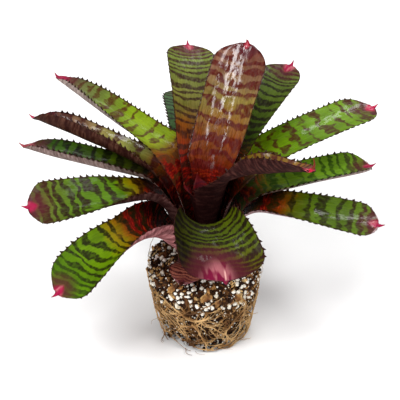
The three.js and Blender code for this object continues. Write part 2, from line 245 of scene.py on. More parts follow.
def scatter(luck, spots, sizes, stretch, detail, rough=0.8):
    """Rough grains at spots of the mix, all in one mesh."""
    bm = bmesh.new()
    for spot, out in spots:
        size = luck.uniform(*sizes)
        made = bmesh.ops.create_icosphere(bm, subdivisions=detail, radius=1)["verts"]
        turn = Vector([luck.gauss(0, 1) for _ in range(3)]).normalized()
        across = turn.orthogonal().normalized()
        third = turn.cross(across)
        shift = Vector([luck.uniform(0, 50) for _ in range(3)])
        sink = luck.uniform(-0.1, 0.45) * size * 0.5
        for vert in made:
            swell = 1 + rough * noise.noise(vert.co * 1.3 + shift)
            p = vert.co * swell * size * 0.5
            p = turn * p.x * stretch[0] + across * p.y * stretch[1] + third * p.z * stretch[2]
            vert.co = (spot + p + out * sink) * MM
            vert.co.z = max(vert.co.z, 0)
    return bm


luck = random.Random(3)
grains = scatter(luck, on_plug(luck, 420, 46, 70, 0.4), (1.6, 4.0), (1.15, 1, 0.9), 2, 0.5)
set_piece("perlite_grains", mesh_of("perlite_grains", grains), perlite, "soil")
specks = scatter(luck, on_plug(luck, 900, 6, 72, 0.25), (0.8, 2.0), (1.1, 1, 0.9), 1, 0.5)
set_piece("perlite_specks", mesh_of("perlite_specks", specks), perlite, "soil")
fallen = scatter(luck, under_plug(luck, 130), (0.9, 2.6), (1.1, 1, 0.9), 1, 0.5)
set_piece("perlite_foot", mesh_of("perlite_foot", fallen), perlite, "soil")


# Bark and crumbs of peat: flat tan and brown chips of composted bark, and the darker crumbs of peat
# that fill the space between them.

bark, tree, shader = finish("bark_chips")
place = place_on(tree)
patch = grain(tree, place, 70, 2)
streak = grain(tree, put(tree, "Mapping", {"Vector": place, "Scale": (900, 220, 500)}).outputs[0], 1, 3)
chip = ramp(tree, patch, [(0.32, "2a170c"), (0.42, "6c4426"), (0.52, "ac7e48"), (0.62, "dab67c"),
                          (0.74, "503a28")])
tree.links.new(mixed(tree, fade(tree, streak, 0.35, 0.65, 0.0, 0.5), chip, tint("24160d")),
               shader.inputs["Base Color"])
shader.inputs["Roughness"].default_value = 0.85
shader.inputs["Specular IOR Level"].default_value = 0.15
raise_by(tree, shader, streak, 0.0005)

luck = random.Random(8)
chips = scatter(luck, on_plug(luck, 760, 24, 71, 0.34), (1.6, 4.2), (1.6, 0.8, 0.38), 1)
set_piece("bark_chips", mesh_of("bark_chips", chips, False), bark, "soil")
spots = list(on_plug(luck, 16, 50, 66, 0.3))
for angle, z in ((4.14, 70.5), (4.40, 60), (4.72, 66), (5.2, 58), (3.75, 66)):
    way = Vector((math.cos(angle), math.sin(angle), 0))
    spots.append((way * pot_radius(z) + UP * z, way))
large = scatter(luck, spots, (6.0, 9.0), (1.3, 0.7, 0.3), 2)
set_piece("bark_lumps", mesh_of("bark_lumps", large, False), bark, "soil")
crumbs = scatter(luck, on_plug(luck, 1900, 4, 71, 0.22), (1.0, 2.6), (1.2, 1, 0.8), 1)
set_piece("peat_crumbs", mesh_of("peat_crumbs", crumbs, False), peat, "soil")
fallen = scatter(luck, under_plug(luck, 420), (1.0, 3.4), (1.2, 1, 0.8), 1)
set_piece("peat_foot", mesh_of("peat_foot", fallen, False), peat, "soil")


# The roots that circled in the pot: wiry tan strands, a few as thick as string and most as thin as
# thread, that hug the plug in a net and hang free below its crumbled edge.

strand, tree, shader = finish("root_bark")
place = place_on(tree)
tone = grain(tree, place, 45, 3)
speck = grain(tree, place, 700, 3)
tan = ramp(tree, tone, [(0.32, "4a2e14"), (0.44, "8a6236"), (0.58, "cca672"), (0.72, "7a542c")])
tree.links.new(mixed(tree, fade(tree, speck, 0.4, 0.7, 0.0, 0.45), tan, tint("6b4a2c")),
               shader.inputs["Base Color"])
shader.inputs["Roughness"].default_value = 0.75
shader.inputs["Specular IOR Level"].default_value = 0.2
raise_by(tree, shader, speck, 0.0003)


CREEP = 1.7
NET_TOP = 66


def root_curve(name):
    """An empty bundle that strands are added to."""
    curve = bpy.data.curves.new(name, "CURVE")
    curve.dimensions = "3D"
    curve.bevel_depth = 1.0
    curve.bevel_resolution = 1
    curve.use_fill_caps = True
    curve.resolution_u = 2
    return curve


def add_root(curve, points, thick, tip=0.35):
    """One strand through points in millimetres, thinning towards its end."""
    spline = curve.splines.new("POLY")
    spline.points.add(len(points) - 1)
    for k, p in enumerate(points):
        spline.points[k].co = (p[0] * MM, p[1] * MM, max(p[2], thick) * MM, 1)
        along = k / (len(points) - 1)
        spline.points[k].radius = thick * MM * (1 - (1 - tip) * along)


def wander(luck, angle, z, heading, steps, hug, swing, low=0.6):
    """A strand that creeps over the plug's wall in short steps, turning as it finds its way."""
    points = []
    for _ in range(steps):
        r = pot_radius(z) + hug + luck.uniform(-0.25, 0.25)
        points.append((r * math.cos(angle), r * math.sin(angle), z))
        heading += luck.gauss(0, swing)
        angle += CREEP * math.cos(heading) / r
        z += CREEP * math.sin(heading)
        if z < low:
            z, heading = low, luck.choice((0.15, math.pi - 0.15))
        if z > NET_TOP:
            heading = -abs(heading)
        hug += 0.25 * (luck.uniform(0.6, 2.4) - hug)
    return points


luck = random.Random(21)
roots = root_curve("net_roots")
for _ in range(30):
    path = wander(luck, luck.uniform(0, 2 * math.pi), luck.uniform(26, 54),
                  luck.choice((-0.5, -0.9, -2.2, -2.7)), luck.randint(24, 46),
                  hug=1.4, swing=0.24, low=luck.uniform(1, 14))
    thick = luck.uniform(0.55, 1.0)
    add_root(roots, path, thick)
    for _ in range(luck.randint(2, 4)):
        x, y, z = path[luck.randint(4, len(path) - 8)]
        side = wander(luck, math.atan2(y, x), z, luck.uniform(-2.9, -0.2), luck.randint(8, 20),
                      hug=1.2, swing=0.3, low=luck.uniform(1, 14))
        add_root(roots, side, 0.5 * thick)
for _ in range(64):
    heading = luck.choice((-0.5, -1.2, -2.0, -2.6, 0.1, 3.0))
    path = wander(luck, luck.uniform(0, 2 * math.pi), luck.triangular(6, 56, 30), heading,
                  luck.randint(12, 30), hug=0.9, swing=0.36, low=luck.uniform(2, 20))
    add_root(roots, path, luck.uniform(0.2, 0.4))
for _ in range(170):
    path = wander(luck, luck.uniform(0, 2 * math.pi), luck.triangular(16, 66, 38),
                  luck.uniform(-3.6, 0.4), luck.randint(5, 14), hug=0.4, swing=0.45, low=14)
    add_root(roots, path, luck.uniform(0.12, 0.22))


def mesh_from(name, curve):
    """Turns strands into one mesh at the origin."""
    holder = bpy.data.objects.new(name, curve)
    bpy.context.scene.collection.objects.link(holder)
    graph = bpy.context.evaluated_depsgraph_get()
    mesh = bpy.data.meshes.new_from_object(holder.evaluated_get(graph))
    mesh.materials.clear()
    bpy.data.objects.remove(holder)
    mesh.shade_smooth()
    return mesh


set_piece("net_roots", mesh_from("net_roots", roots), strand, "roots", "root_net")


# The cage at the foot: where the mix has crumbled away the roots still follow the pot's corner and
# its floor, looping into a ring with loose ends that stick out of it.

cage = root_curve("cage_roots")
for k in range(7):
    start = luck.uniform(0, 2 * math.pi)
    r = pot_radius(0) + luck.uniform(-1.5, 1.5)
    path = []
    for step in range(luck.randint(24, 56)):
        angle = start + step * 0.06
        p = Vector((math.cos(angle), math.sin(angle), 0.7 * k)) * 2.2
        z = 3.4 + 7 * max(-0.35, noise.noise(p))
        out = r + 4 * noise.noise(p + Vector((9, 9, 9)))
        path.append((out * math.cos(angle), out * math.sin(angle), z))
    add_root(cage, path, luck.uniform(0.3, 0.85), 0.5)
for _ in range(24):
    start = luck.uniform(0, 2 * math.pi)
    sweep = luck.uniform(-0.9, 0.9)
    foot = luck.uniform(16, 30)
    path = []
    for step in range(13):
        t = step / 12
        angle = start + sweep * t
        out = pot_radius(0) + 1.0 - (pot_radius(0) - foot) * t**1.2
        z = 13 * (1 - t) ** 2 + 0.8 + luck.uniform(0, 0.6)
        path.append((out * math.cos(angle), out * math.sin(angle), z))
    add_root(cage, path, luck.uniform(0.2, 0.5), 0.5)
for k in range(16):
    angle = luck.uniform(0, 2 * math.pi)
    z = luck.choice((1.0, 2.0, 6.0, 18.0, 30.0, 44.0))
    reach = luck.uniform(3, 7)
    path = []
    for step in range(9):
        t = step / 8
        out = pot_radius(z) + 1 + reach * math.sin(1.7 * t)
        turn = angle + 0.22 * t + 0.03 * math.sin(5 * t + k)
        path.append((out * math.cos(turn), out * math.sin(turn), z * (1 - 0.25 * t) + 0.4))
    add_root(cage, path, luck.uniform(0.18, 0.4))
set_piece("cage_roots", mesh_from("cage_roots", cage), strand, "roots")


# The stem: a short fibrous stump that stands in the mix and carries every leaf. Hardly any of it
# shows between the sheaths, so the solid keeps its shape and gets the finish of dry leaf scars.

stump, tree, shader = finish("stem_fibre")
place = place_on(tree)
ring = grain(tree, put(tree, "Mapping", {"Vector": place, "Scale": (60, 60, 700)}).outputs[0], 1, 3)
tree.links.new(ramp(tree, ring, [(0.3, "3c2a18"), (0.5, "6f5a30"), (0.7, "8f8246")]),
               shader.inputs["Base Color"])
shader.inputs["Roughness"].default_value = 0.7
raise_by(tree, shader, ring, 0.0006)
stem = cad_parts["stem"]
stem.data.materials.clear()
stem.data.materials.append(stump)


# The leaves: thick glossy straps that sheathe the stem and bend out of a cup. Each is one closed
# skin, lens-shaped across, that narrows at its round end into a stiff curved claw.

# In this table az says where a leaf points, length how long it is up to its claw, bend where the blade
# leaves the sheath, and width and sheath how broad the blade and the sheath are. lean is how steeply
# the sheath climbs, rise how steeply the blade does just past the bend and at its end, and fold how
# far its edges turn up at both; left and right give that for one edge. Lengths are in millimetres and
# angles in degrees. USUAL is what most leaves have: twist rolls the blade and veer turns it aside, wrap
# is how far the sheath clasps the stem on each side, end the length of the rounded end, notch how deep
# the claw sits between its lobes, spur its length, claw how far it turns up, and fine the spines' size.
# The skin has LANES quads round it, and rows that lie about ROW millimetres apart.
USUAL = dict(twist=0, veer=0, wrap=68, end=20, notch=3, spur=8, claw=45, fine=1)
SHEATH_THICK = 0.7
BLADE_THICK = 0.95
CLAW_THICK = 2.3
LANES = 32
ROW = 1.7
MARKS = ("along", "across", "margin", "under", "to_tip")
LEAVES = [
    dict(name="leaf_old", az=250, length=40, bend=20, rise=(2, -4), width=36, sheath=34, lean=24,
         fold=(16, 10)),
    dict(name="leaf_front_left", az=212, length=146, bend=55, rise=(-4, -40), width=46, sheath=72,
         lean=48, fold=(90, 2), twist=-14),
    dict(name="leaf_front", az=272, length=125, bend=67, rise=(4, -76), width=70, sheath=42,
         fold=(70, 14), claw=210, notch=2, veer=8),
    dict(name="leaf_right_low", az=350, length=156, bend=51, rise=(1, -10), width=44, sheath=34,
         fold=(20, 10), twist=6, right=(58, 16), end=14),
    dict(name="leaf_left_low", az=190, length=165, bend=61, rise=(3, -4), width=46, sheath=52,
         fold=(26, 12), twist=-18, left=(90, 14), right=(8, 14), end=14),
    dict(name="leaf_right_mid", az=15, length=160, bend=50, rise=(6, 2), width=46, sheath=42,
         fold=(30, 20), end=16, right=(50, 56)),
    dict(name="leaf_back_low", az=97, length=178, bend=54, rise=(14, -6), width=42, sheath=26,
         fold=(30, 20)),
    dict(name="leaf_left_mid", az=160, length=187, bend=59, rise=(-1, 6), width=44, sheath=44,
         fold=(36, 44), end=40, twist=12, left=(60, 66)),
    dict(name="leaf_left_folded", az=155, length=188, bend=58, rise=(13, 8), width=40, sheath=40,
         fold=(70, 100), end=40, twist=22),
    dict(name="leaf_back_right_low", az=73, length=158, bend=58, rise=(10, -4), width=42, sheath=34,
         fold=(32, 22)),
    dict(name="leaf_right_upper", az=30, length=198, bend=58, rise=(14, 2), width=44, sheath=54,
         fold=(30, 20)),
    dict(name="leaf_left_back", az=133, length=228, bend=66, rise=(1, 8), width=40, fold=(36, 66),
         end=84, twist=8, left=(36, 100)),
    dict(name="leaf_right_back", az=53, length=170, bend=62, rise=(32, 18), width=42, sheath=36,
         fold=(36, 26), fine=0.62),
    dict(name="leaf_back", az=96, length=189, bend=68, rise=(26, 8), width=44, sheath=42,
         fold=(34, 24), twist=8, fine=0.62),
    dict(name="leaf_right_inner", az=329, length=138, bend=62, rise=(24, 18), width=50, sheath=60,
         wrap=88, fold=(100, 30), twist=-30, claw=110, end=14, notch=6, spur=17),
    dict(name="leaf_centre_back", az=63, length=159, bend=58, rise=(57, 50), width=50,
         fold=(40, 26), claw=130, fine=0.62),
    dict(name="leaf_heart_left", az=196, length=44, bend=38, rise=(62, 50), width=30, sheath=26,
         fold=(50, 40)),
    dict(name="leaf_heart_front", az=306, length=38, bend=32, rise=(66, 56), width=25, sheath=23,
         fold=(50, 40)),
    dict(name="leaf_heart_back", az=120, length=40, bend=30, rise=(72, 64), width=26, sheath=24,
         fold=(60, 50)),
    dict(name="leaf_heart_right", az=15, length=36, bend=30, rise=(74, 66), width=22, sheath=20,
         fold=(60, 50)),
]
LEAVES = [{**USUAL, **leaf} for leaf in LEAVES]


def clamp(x):
    return min(1.0, max(0.0, x))


def soft(x):
    """Runs softly from 0 to 1 as x does."""
    x = clamp(x)
    return x * x * (3 - 2 * x)


def between(a, b, t):
    return a + (b - a) * t


def midline(leaf, order):
    """Distance out, height and climb of the leaf's middle at every millimetre along it."""
    x = 15.5 - 0.42 * order - 0.0135 * order**2
    z = 76 + 1.6 * order
    points = []
    length, bend, rise = leaf["length"], leaf["bend"], leaf["rise"]
    spur = leaf["spur"]
    for s in range(length + spur + 6):
        bent = soft((s - bend) / 36 + 0.5)
        along = clamp((s - bend) / (length - bend)) ** 1.4
        curled = leaf["claw"] * clamp((s - length) / spur)
        blade = between(rise[0], rise[1], along)
        climb = math.radians(between(leaf.get("lean", 62 + 1.1 * order), blade, bent) + curled)
        points.append((x, z, climb))
        x += math.cos(climb)
        z += math.sin(climb)
    return points


def half_width(leaf, s):
    """Half the leaf's width at s: a broad sheath, an even strap, a round end and the claw."""
    length, bend, width = leaf["length"], leaf["bend"], leaf["width"]
    sheath = leaf.get("sheath", min(58, width * 1.3)) / 2 * between(0.84, 1, soft(s / 30))
    strap = between(sheath, width / 2, soft((s - bend + 18) / 44))
    left = clamp((length - s) / leaf["end"])
    blade = strap * math.sqrt(1 - (1 - left) ** 2.2)
    to_point = clamp((length + leaf["spur"] - s) / (leaf["spur"] + 2))
    claw = 0.9 * to_point + 5.2 * to_point**2.4
    return max(blade, claw) + 0.35 * math.exp(-((blade - claw) / 1.6) ** 2)


def lobe(leaf, s, v):
    """How much further the blade reaches at v than on its midline, beside the claw."""
    end = leaf["end"]
    share = soft((s - leaf["length"] + end) / end) * (1 - soft((s - leaf["length"] + 1) / 2.5))
    return leaf["notch"] * share * max(0, 4 * abs(v) * (1 - abs(v)))


def on_leaf(leaf, line, s, v):
    """The point of the leaf's middle surface at s along and v across, from -1 to 1."""
    k = min(len(line) - 2, int(s))
    x, z, climb = (between(a, b, s - k) for a, b in zip(line[k], line[k + 1]))
    half = half_width(leaf, s)
    outward = soft((s - leaf["bend"]) / (leaf["length"] - leaf["bend"]))
    turned_up = leaf.get("left" if v > 0 else "right", leaf["fold"])
    fold = math.radians(between(turned_up[0], turned_up[1], outward))
    curl = fold / max(half, leaf["width"] * 0.3)
    across = math.sin(curl * v * half) / curl
    up = (1 - math.cos(curl * v * half)) / curl
    roll = math.radians(leaf["twist"]) * soft((s - leaf["bend"] + 10) / 70)
    forward = Vector((math.cos(climb), 0, math.sin(climb)))
    level = Vector((0, 1, 0))
    side = level * math.cos(roll) + forward.cross(level) * math.sin(roll)
    blade = Vector((x, 0, z)) + side * across + forward.cross(side) * up
    blade += forward * lobe(leaf, s, v)
    angle = v * min(half / x, math.radians(leaf["wrap"]))
    sheath = Vector((x * math.cos(angle), x * math.sin(angle), z))
    p = sheath.lerp(blade, soft((x - 24) / 26))
    az = math.radians(leaf["az"] + leaf["veer"] * outward)
    return Vector((p.x * math.cos(az) - p.y * math.sin(az), p.x * math.sin(az) + p.y * math.cos(az), p.z))


def frame_at(leaf, line, s, v):
    """The point there with the ways along the leaf, across it and out of its upper face."""
    s0 = max(0, s - 0.3)
    along = (on_leaf(leaf, line, s + 0.3, v) - on_leaf(leaf, line, s0, v)).normalized()
    across = (on_leaf(leaf, line, s, v + 0.03) - on_leaf(leaf, line, s, v - 0.03)).normalized()
    return on_leaf(leaf, line, s, v), along, across, along.cross(across).normalized()


def leaf_mesh(leaf, order, luck):
    """The leaf's skin with its spines, marked with where each point lies on the leaf."""
    line = midline(leaf, order)
    total = leaf["length"] + leaf["spur"]
    bm = bmesh.new()
    marks = {mark: bm.verts.layers.float.new(mark) for mark in MARKS}
    bmesh.ops.create_grid(bm, x_segments=LANES, y_segments=int(total / ROW), size=1)
    shift = Vector((order * 7.3, order * 3.1, 0))
    for vert in bm.verts:
        turn = (vert.co.x + 1) * math.pi
        share = (vert.co.y + 1) / 2
        s = total * (1.35 * share - 0.35 * share**2)
        v = -math.cos(turn)
        point, along, across, out = frame_at(leaf, line, s, v)
        half = half_width(leaf, s)
        thick = between(SHEATH_THICK, BLADE_THICK, soft(s / 70))
        thick = min(between(thick, CLAW_THICK, soft((s - leaf["length"] + 5) / 6)), 1.5 * half)
        if s > total - 0.01:
            half = thick = 0
            point = on_leaf(leaf, line, s, 0)
        free = soft((s - leaf["bend"]) / 30) * soft((total - s) / 12)
        wave = 0.55 * noise.noise(Vector((s / 26, v * 1.1, 0)) + shift)
        wave += 0.35 * v * v * noise.noise(Vector((s / 7, v, 5)) + shift)
        vert.co = (point + out * (free * wave + 0.5 * thick * math.sin(turn))) * MM
        vert[marks["along"]] = s
        vert[marks["across"]] = v * half
        vert[marks["margin"]] = half * (1 - abs(v))
        vert[marks["under"]] = 1.0 if math.pi + 0.01 < turn < 2 * math.pi - 0.01 else 0.0
        vert[marks["to_tip"]] = leaf["length"] - s
    bmesh.ops.remove_doubles(bm, verts=bm.verts, dist=1e-7)
    bmesh.ops.holes_fill(bm, edges=[e for e in bm.edges if e.is_boundary], sides=0)
    bmesh.ops.recalc_face_normals(bm, faces=bm.faces)

    for side in (-1, 1):
        s = max(6, leaf["bend"] - 24) + luck.uniform(0, 3)
        while s < leaf["length"] - 2.5:
            near_end = soft((leaf["length"] - s) / 22)
            tall = between(1.0, 2.6, near_end) * luck.uniform(0.8, 1.15) * leaf["fine"]
            slim = between(0.45, 1, soft((s - leaf["bend"] + 4) / 14))
            tall *= between(1.35, 1, slim)
            point, along, across, out = frame_at(leaf, line, s, side)
            spine = bmesh.ops.create_cone(bm, cap_ends=True, segments=6, radius1=1, radius2=0.04, depth=1)
            for vert in spine["verts"]:
                up = vert.co.z + 0.5
                slide = vert.co.x * between(0.95, 0.2, up) * 0.75 * tall * slim + 0.45 * tall * up**2
                spread = vert.co.y * 0.26 * tall * slim
                reach = tall * up - 0.45
                vert.co = (point + along * slide + out * (spread + 0.1 * tall * up)
                           + across * side * reach) * MM
                vert[marks["along"]] = s
                vert[marks["margin"]] = -reach
                vert[marks["to_tip"]] = leaf["length"] - s
            s += between(2.6, 5.3, near_end) * between(0.45, 1, slim) * luck.uniform(0.85, 1.15)
    return mesh_of(leaf["name"], bm)


# What marks a leaf: a group for the ragged cross-bands, one for the silvery scales that powder the
# underside in fine cross-lines, and one for the ribs and shallow dents under its shine.


def new_group(name, numbers, results):
    """An empty effect with named numbers in and named results out."""
    group = bpy.data.node_groups.new(name, "ShaderNodeTree")
    for label, value in numbers.items():
        socket = group.interface.new_socket(label, in_out="INPUT", socket_type="NodeSocketFloat")
        socket.default_value = value
    for label in results:
        group.interface.new_socket(label, in_out="OUTPUT", socket_type="NodeSocketFloat")
    start = group.nodes.new("NodeGroupInput")
    end = group.nodes.new("NodeGroupOutput")
    return group, start.outputs, end.inputs


def leaf_grain(tree, at, across_scale, along_scale, depth, detail, roughness=0.5):
    """Cloudy noise on a leaf, as fine across and along it as the two scales make it."""
    x = sum_of(tree, "MULTIPLY", at["Across"], across_scale)
    y = sum_of(tree, "MULTIPLY", at["Along"], along_scale)
    spot = put(tree, "CombineXYZ", {"X": x, "Y": y, "Z": depth}).outputs[0]
    return grain(tree, spot, 1, detail, roughness)


def shifted(tree, value, by, amount):
    """value moved by a noise around its middle, times amount."""
    return sum_of(tree, "ADD", value, sum_of(tree, "MULTIPLY", sum_of(tree, "SUBTRACT", by, 0.5), amount))


cross_bands, given, result = new_group(
    "cross_bands",
    {"Along": 0, "Across": 0, "To Tip": 0, "Pitch": 8, "Cover": 0.4, "Break": 0.5, "Bow": -0.006,
     "Slant": 0, "Leaf": 0},
    ["Bands"],
)
tree = cross_bands
ragged = leaf_grain(tree, given, 0.7, 0.12, given["Leaf"], 3)
drift = leaf_grain(tree, given, 0.05, 0.05, given["Leaf"], 2)
uneven = leaf_grain(tree, given, 0.006, 0.07, given["Leaf"], 1)
lobes = leaf_grain(tree, given, 0.12, 0.12, given["Leaf"], 1)
bowed = sum_of(tree, "MULTIPLY_ADD", given["Across"], given["Bow"], given["Slant"])
along = sum_of(tree, "MULTIPLY_ADD", given["Across"], bowed, shifted(tree, given["Along"], ragged, 3.6))
sway = sum_of(tree, "MULTIPLY", sum_of(tree, "MULTIPLY", given["Pitch"], given["Break"]), 1.2)
along = shifted(tree, shifted(tree, shifted(tree, along, lobes, sway), drift, 9), uneven, 16)
last = sum_of(tree, "MAXIMUM", sum_of(tree, "SUBTRACT", 46, given["To Tip"]), 0)
along = sum_of(tree, "ADD", along, sum_of(tree, "MULTIPLY", sum_of(tree, "MULTIPLY", last, last), 0.011))
beat = sum_of(tree, "DIVIDE", along, given["Pitch"])
wave = sum_of(tree, "MULTIPLY_ADD", sum_of(tree, "COSINE", sum_of(tree, "MULTIPLY", beat, 2 * math.pi)),
              0.5, 0.5)
patch = put(tree, "CombineXYZ", {"X": sum_of(tree, "MULTIPLY", given["Across"], 0.11),
                                 "Y": sum_of(tree, "MULTIPLY", beat, 0.95), "Z": given["Leaf"]}).outputs[0]
torn = sum_of(tree, "SUBTRACT", grain(tree, patch, 1, 2), 0.5)
cover = sum_of(tree, "MULTIPLY_ADD", torn, sum_of(tree, "MULTIPLY", given["Break"], 3.0), given["Cover"])
cover = sum_of(tree, "ADD", cover, fade(tree, given["To Tip"], 4, 34, 0.16, 0.0))
low = sum_of(tree, "SUBTRACT", 0.82, cover)
solid = fade(tree, leaf_grain(tree, given, 0.35, 0.25, 9.0, 2), 0.3, 0.6, 0.65, 1.0)
edged = fade(tree, wave, low, sum_of(tree, "ADD", low, 0.44))
tree.links.new(sum_of(tree, "MULTIPLY", edged, solid), result["Bands"])

silver_scales, given, result = new_group("silver_scales", {"Along": 0, "Across": 0, "Leaf": 0}, ["Scales"])
tree = silver_scales
lines = leaf_grain(tree, given, 0.10, 0.55, given["Leaf"], 3)
dust = leaf_grain(tree, given, 3.0, 3.0, given["Leaf"], 2)
both = sum_of(tree, "MULTIPLY_ADD", dust, 0.35, lines)
tree.links.new(fade(tree, both, 0.55, 0.85), result["Scales"])

leaf_ribs, given, result = new_group("leaf_ribs", {"Along": 0, "Across": 0, "Leaf": 0}, ["Height", "Sheen"])
tree = leaf_ribs
ribs = leaf_grain(tree, given, 1.3, 0.02, given["Leaf"], 2)
dents = leaf_grain(tree, given, 0.16, 0.07, given["Leaf"], 2)
height = sum_of(tree, "ADD", sum_of(tree, "MULTIPLY", ribs, 0.2), dents)
tree.links.new(height, result["Height"])
tree.links.new(dents, result["Sheen"])


def group_in(tree, group, inputs):
    """Places an effect in a tree and fills its inputs as put does."""
    node = put(tree, "Group", node_tree=group)
    for key, value in inputs.items():
        if isinstance(value, bpy.types.NodeSocket):
            tree.links.new(value, node.inputs[key])
        else:
            node.inputs[key].default_value = value
    return node.outputs


def leaf_skin(name, order, ground, band, pitch=8.0, cover=0.45, broken=0.5, bow=-0.006, slant=0.0,
              tip_band="3a0e18", pink=8.0, under=("4a2e2c", "7a5c58"), gloss=0.36, fresh=0.08, claw="8c1038",
              swell=0.0012, marked=0.3, red_to=92, shaded_half=0.0, crease_highlight=0, aside=0.0, shade=0.0):
    """A leaf's finish. ground holds the colours along it, each with its place in millimetres.

    Bands of band lie over it, pitch apart. cover is their share, broken how torn they are, and bow and
    slant how they run. tip_band is their colour near the end, and red_to how far the red of the foot
    goes. pink is how far the blush of the claw goes, aside how far it lies to one side, crease the
    length of the painted highlight along the fold at the end, and dim how much painted shade darkens
    one half. under holds the colours of the underside, where marked is how much the bands show and
    shade how much painted shade darkens the sheath there. gloss is the roughness, fresh the weight of
    the clear coat, and swell the height of the relief in metres.
    """
    material, tree, shader = finish(name)
    mark = {label: put(tree, "Attribute", attribute_name=label).outputs["Fac"] for label in MARKS}
    here = {"Along": mark["along"], "Across": mark["across"], "Leaf": order * 3.7}
    bands = group_in(tree, cross_bands, {**here, "To Tip": mark["to_tip"], "Pitch": pitch, "Cover": cover,
                                         "Break": broken, "Bow": bow, "Slant": slant})["Bands"]
    scales = group_in(tree, silver_scales, here)["Scales"]
    relief = group_in(tree, leaf_ribs, here)
    cloud = leaf_grain(tree, here, 0.06, 0.05, order * 1.3, 3)
    fibres = leaf_grain(tree, here, 1.6, 0.05, order * 2.1, 3)

    # The upper face, from the ground to the bands, and then the end with its claw.
    far = ground[-1][0]
    reach = sum_of(tree, "DIVIDE", shifted(tree, mark["along"], cloud, 24), far)
    base = ramp(tree, reach, [(s / far, code) for s, code in ground])
    streaks = leaf_grain(tree, here, 0.13, 0.7, order * 5.3, 3, 0.62)
    foot = ramp(tree, streaks, [(0.36, "140202"), (0.48, "440604"), (0.58, "8c0e0c"), (0.70, "b0440e")])
    reddened = fade(tree, shifted(tree, mark["along"], cloud, 40), red_to - 46, red_to, 0.85, 0.0)
    base = mixed(tree, reddened, base, foot)
    base = mixed(tree, fade(tree, cloud, 0.38, 0.7, 0.0, 0.6), base, tint("b4b48c"), "MULTIPLY")
    base = mixed(tree, fade(tree, fibres, 0.35, 0.7, 0.0, 0.5), base, tint("b8c090"), "MULTIPLY")
    near_tip = fade(tree, mark["to_tip"], 4, 30, 0.8, 0.0)
    dark = mixed(tree, near_tip, tint(band), tint(tip_band))
    top = mixed(tree, sum_of(tree, "MULTIPLY", bands, 0.95), base, dark)
    # Painted shade: one half of the upper face is darkened where it turns away from the light.
    if shaded_half:
        top = mixed(tree, fade(tree, mark["across"], -34, 14, shaded_half, 0.0), top, tint("6c3c28"), "MULTIPLY")
    level = sum_of(tree, "ADD", mark["across"], aside)
    flat = put(tree, "CombineXYZ", {"X": level, "Y": mark["to_tip"]}).outputs[0]
    away = put(tree, "VectorMath", {0: flat}, operation="LENGTH").outputs["Value"]
    away = shifted(tree, away, cloud, 9)
    # The blush of the claw is mottled paler pink: partly its own streaks and partly a painted highlight.
    point = mixed(tree, fade(tree, relief["Sheen"], 0.50, 0.62, 0.0, 0.4), tint(claw), tint("c08080"))
    top = mixed(tree, fade(tree, away, pink, pink + 13, 0.75, 0.0), top, tint("48141e"))
    top = mixed(tree, fade(tree, away, pink * 0.4, pink, 1.0, 0.0), top, point)
    # A painted highlight: a pale line down the middle of the end, where the folded tip catches the light.
    if crease_highlight:
        middle = fade(tree, sum_of(tree, "ABSOLUTE", mark["across"]), 0.2, 1.1, 1.0, 0.0)
        middle = sum_of(tree, "MULTIPLY", middle, fade(tree, mark["to_tip"], crease_highlight - 4, crease_highlight, 0.75, 0.0))
        top = mixed(tree, middle, top, tint("d8a49c"))
    top = mixed(tree, fade(tree, mark["margin"], 0.3, 1.2, 0.85, 0.0), top, tint("2c0e0a"))

    # The underside, and over both faces the spines and the claw with its dry point.
    below = mixed(tree, sum_of(tree, "MULTIPLY", scales, 0.8), tint(under[0]), tint(under[1]))
    below = mixed(tree, sum_of(tree, "MULTIPLY", bands, marked), below, tint("200a0a"))
    # Painted shade: the underside of the sheath is darkened, deep in the rosette.
    if shade:
        below = mixed(tree, fade(tree, mark["along"], 30, 84, shade, 0.0), below, tint("1c0404"))
    skin = mixed(tree, mark["under"], top, below)
    skin = mixed(tree, fade(tree, mark["margin"], -0.9, -0.1, 1.0, 0.0), skin, tint("240a08"))
    skin = mixed(tree, fade(tree, mark["to_tip"], -2.5, 1.5, 1.0, 0.0), skin, tint(claw))
    skin = mixed(tree, fade(tree, mark["to_tip"], -7.8, -5.4, 1.0, 0.0), skin, tint("6a2c1c"))
    tree.links.new(skin, shader.inputs["Base Color"])

    # The shine: sheaths are duller than blades, and a worn clear coat lies on the blade's upper face.
    rough = fade(tree, relief["Sheen"], 0.3, 0.7, gloss, gloss + 0.12)
    rough = sum_of(tree, "ADD", rough, fade(tree, mark["along"], 40, 90, 0.2, 0.0))
    rough = sum_of(tree, "MULTIPLY_ADD", mark["under"], 0.25, rough)
    tree.links.new(rough, shader.inputs["Roughness"])
    worn = leaf_grain(tree, here, 0.3, 0.13, order * 4.9, 3, 0.7)
    clear = fade(tree, mark["along"], 40, 84, 0.0, fresh)
    coat = sum_of(tree, "MULTIPLY", clear, fade(tree, worn, 0.45, 0.56))
    coat = sum_of(tree, "MULTIPLY", coat, sum_of(tree, "SUBTRACT", 1, mark["under"]))
    tree.links.new(coat, shader.inputs["Coat Weight"])
    shader.inputs["Coat Roughness"].default_value = 0.1
    shader.inputs["Specular IOR Level"].default_value = 0.07
    raise_by(tree, shader, relief["Height"], swell)
    return material


# The finish of each leaf, from the oldest to the heart: outer leaves are green with a glowing red and
# yellow foot, those at the back are banded finely, and the inner ones are bronze, the centre one of
# them with the strongest shine.

